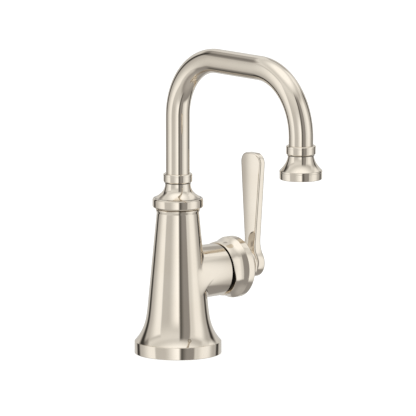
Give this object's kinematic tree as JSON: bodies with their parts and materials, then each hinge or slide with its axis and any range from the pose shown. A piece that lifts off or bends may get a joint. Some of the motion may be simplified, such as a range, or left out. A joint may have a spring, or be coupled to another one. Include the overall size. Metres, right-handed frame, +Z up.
{
  "type": "bathroom faucet",
  "caption": "High arc bathroom faucet for one deck hole: flared round body, squared gooseneck spout that swivels, and a side lever for flow and temperature.",
  "frame": {"origin": "centre of the base on the deck, in the plane of the deck", "axes": "+Z up, along the body and the shank; -Y along the spout at rest; +X along the handle's axis, away from the body"},
  "size_m": [0.1003, 0.1724, 0.2666],
  "materials": {
    "polished_finish": "polished nickel, warm mirror",
    "brass": "machined",
    "rubber": "moulded black",
    "plastic": "moulded acetal, off-white",
    "ceramic": "lapped white ceramic",
    "steel": "stainless"
  },
  "bodies": {
    "faucet_body": {"body_shell": "polished_finish", "base_plate": "brass", "plate_screws": "steel", "base_gasket": "rubber", "mounting_shank": "brass", "waterway_manifold": "brass", "inlet_seal": "rubber", "cartridge_barrel": "brass", "barrel_screw": "steel", "port_seal": "rubber", "cartridge_foot": "plastic", "fixed_ceramic_disc": "ceramic", "cartridge_housing": "plastic", "cartridge_nut": "brass", "stub_bonnet": "polished_finish", "spout_gland": "brass", "swivel_washer": "rubber"},
    "spout": {"spout_bonnet": "polished_finish", "spout_bead": "polished_finish", "spout_tube": "polished_finish", "spout_spigot": "brass", "spigot_o_rings": "rubber", "retaining_clip": "steel", "outlet_bead": "polished_finish", "outlet_bell": "polished_finish", "aerator_housing": "polished_finish", "flow_straightener": "plastic", "flow_regulator": "plastic", "aerator_washer": "rubber"},
    "rotor": {"temperature_rotor": "plastic", "pivot_pin": "steel"},
    "handle": {"cartridge_stem": "steel", "handle_hub": "polished_finish", "hub_set_screw": "steel", "lever_bead": "polished_finish", "lever": "polished_finish", "lever_screw": "steel", "lever_cap": "polished_finish"},
    "mixing_disc": {"disc_carrier": "plastic", "moving_ceramic_disc": "ceramic"},
    "deck_nut": {"rubber_washer": "rubber", "metal_washer": "steel", "mounting_nut": "brass"}
  },
  "joints": [
    {"name": "spout_swivel", "type": "hinge", "parent": "faucet_body", "child": "spout", "pos_m": [0, 0, 0.1005], "axis": [0, 0, 1], "range_deg": [-60, 60]},
    {"name": "temperature_turn", "type": "hinge", "parent": "faucet_body", "child": "rotor", "pos_m": [0.0208, 0, 0.054], "axis": [1, 0, 0], "range_deg": [-45, 45]},
    {"name": "lever_tilt", "type": "hinge", "parent": "rotor", "child": "handle", "pos_m": [0.037, 0, 0.054], "axis": [0, 1, 0], "range_deg": [0, 11]},
    {"name": "disc_slide", "type": "slide", "parent": "rotor", "child": "mixing_disc", "axis": [0, 0, 1], "range_m": [0, 0.004]},
    {"name": "nut_unscrew", "type": "slide", "parent": "faucet_body", "child": "deck_nut", "axis": [0, 0, -1], "range_m": [0, 0.075]}
  ],
  "couplings": [
    {"joint": "disc_slide", "follows": "lever_tilt", "m_per_rad": 0.0188}
  ]
}
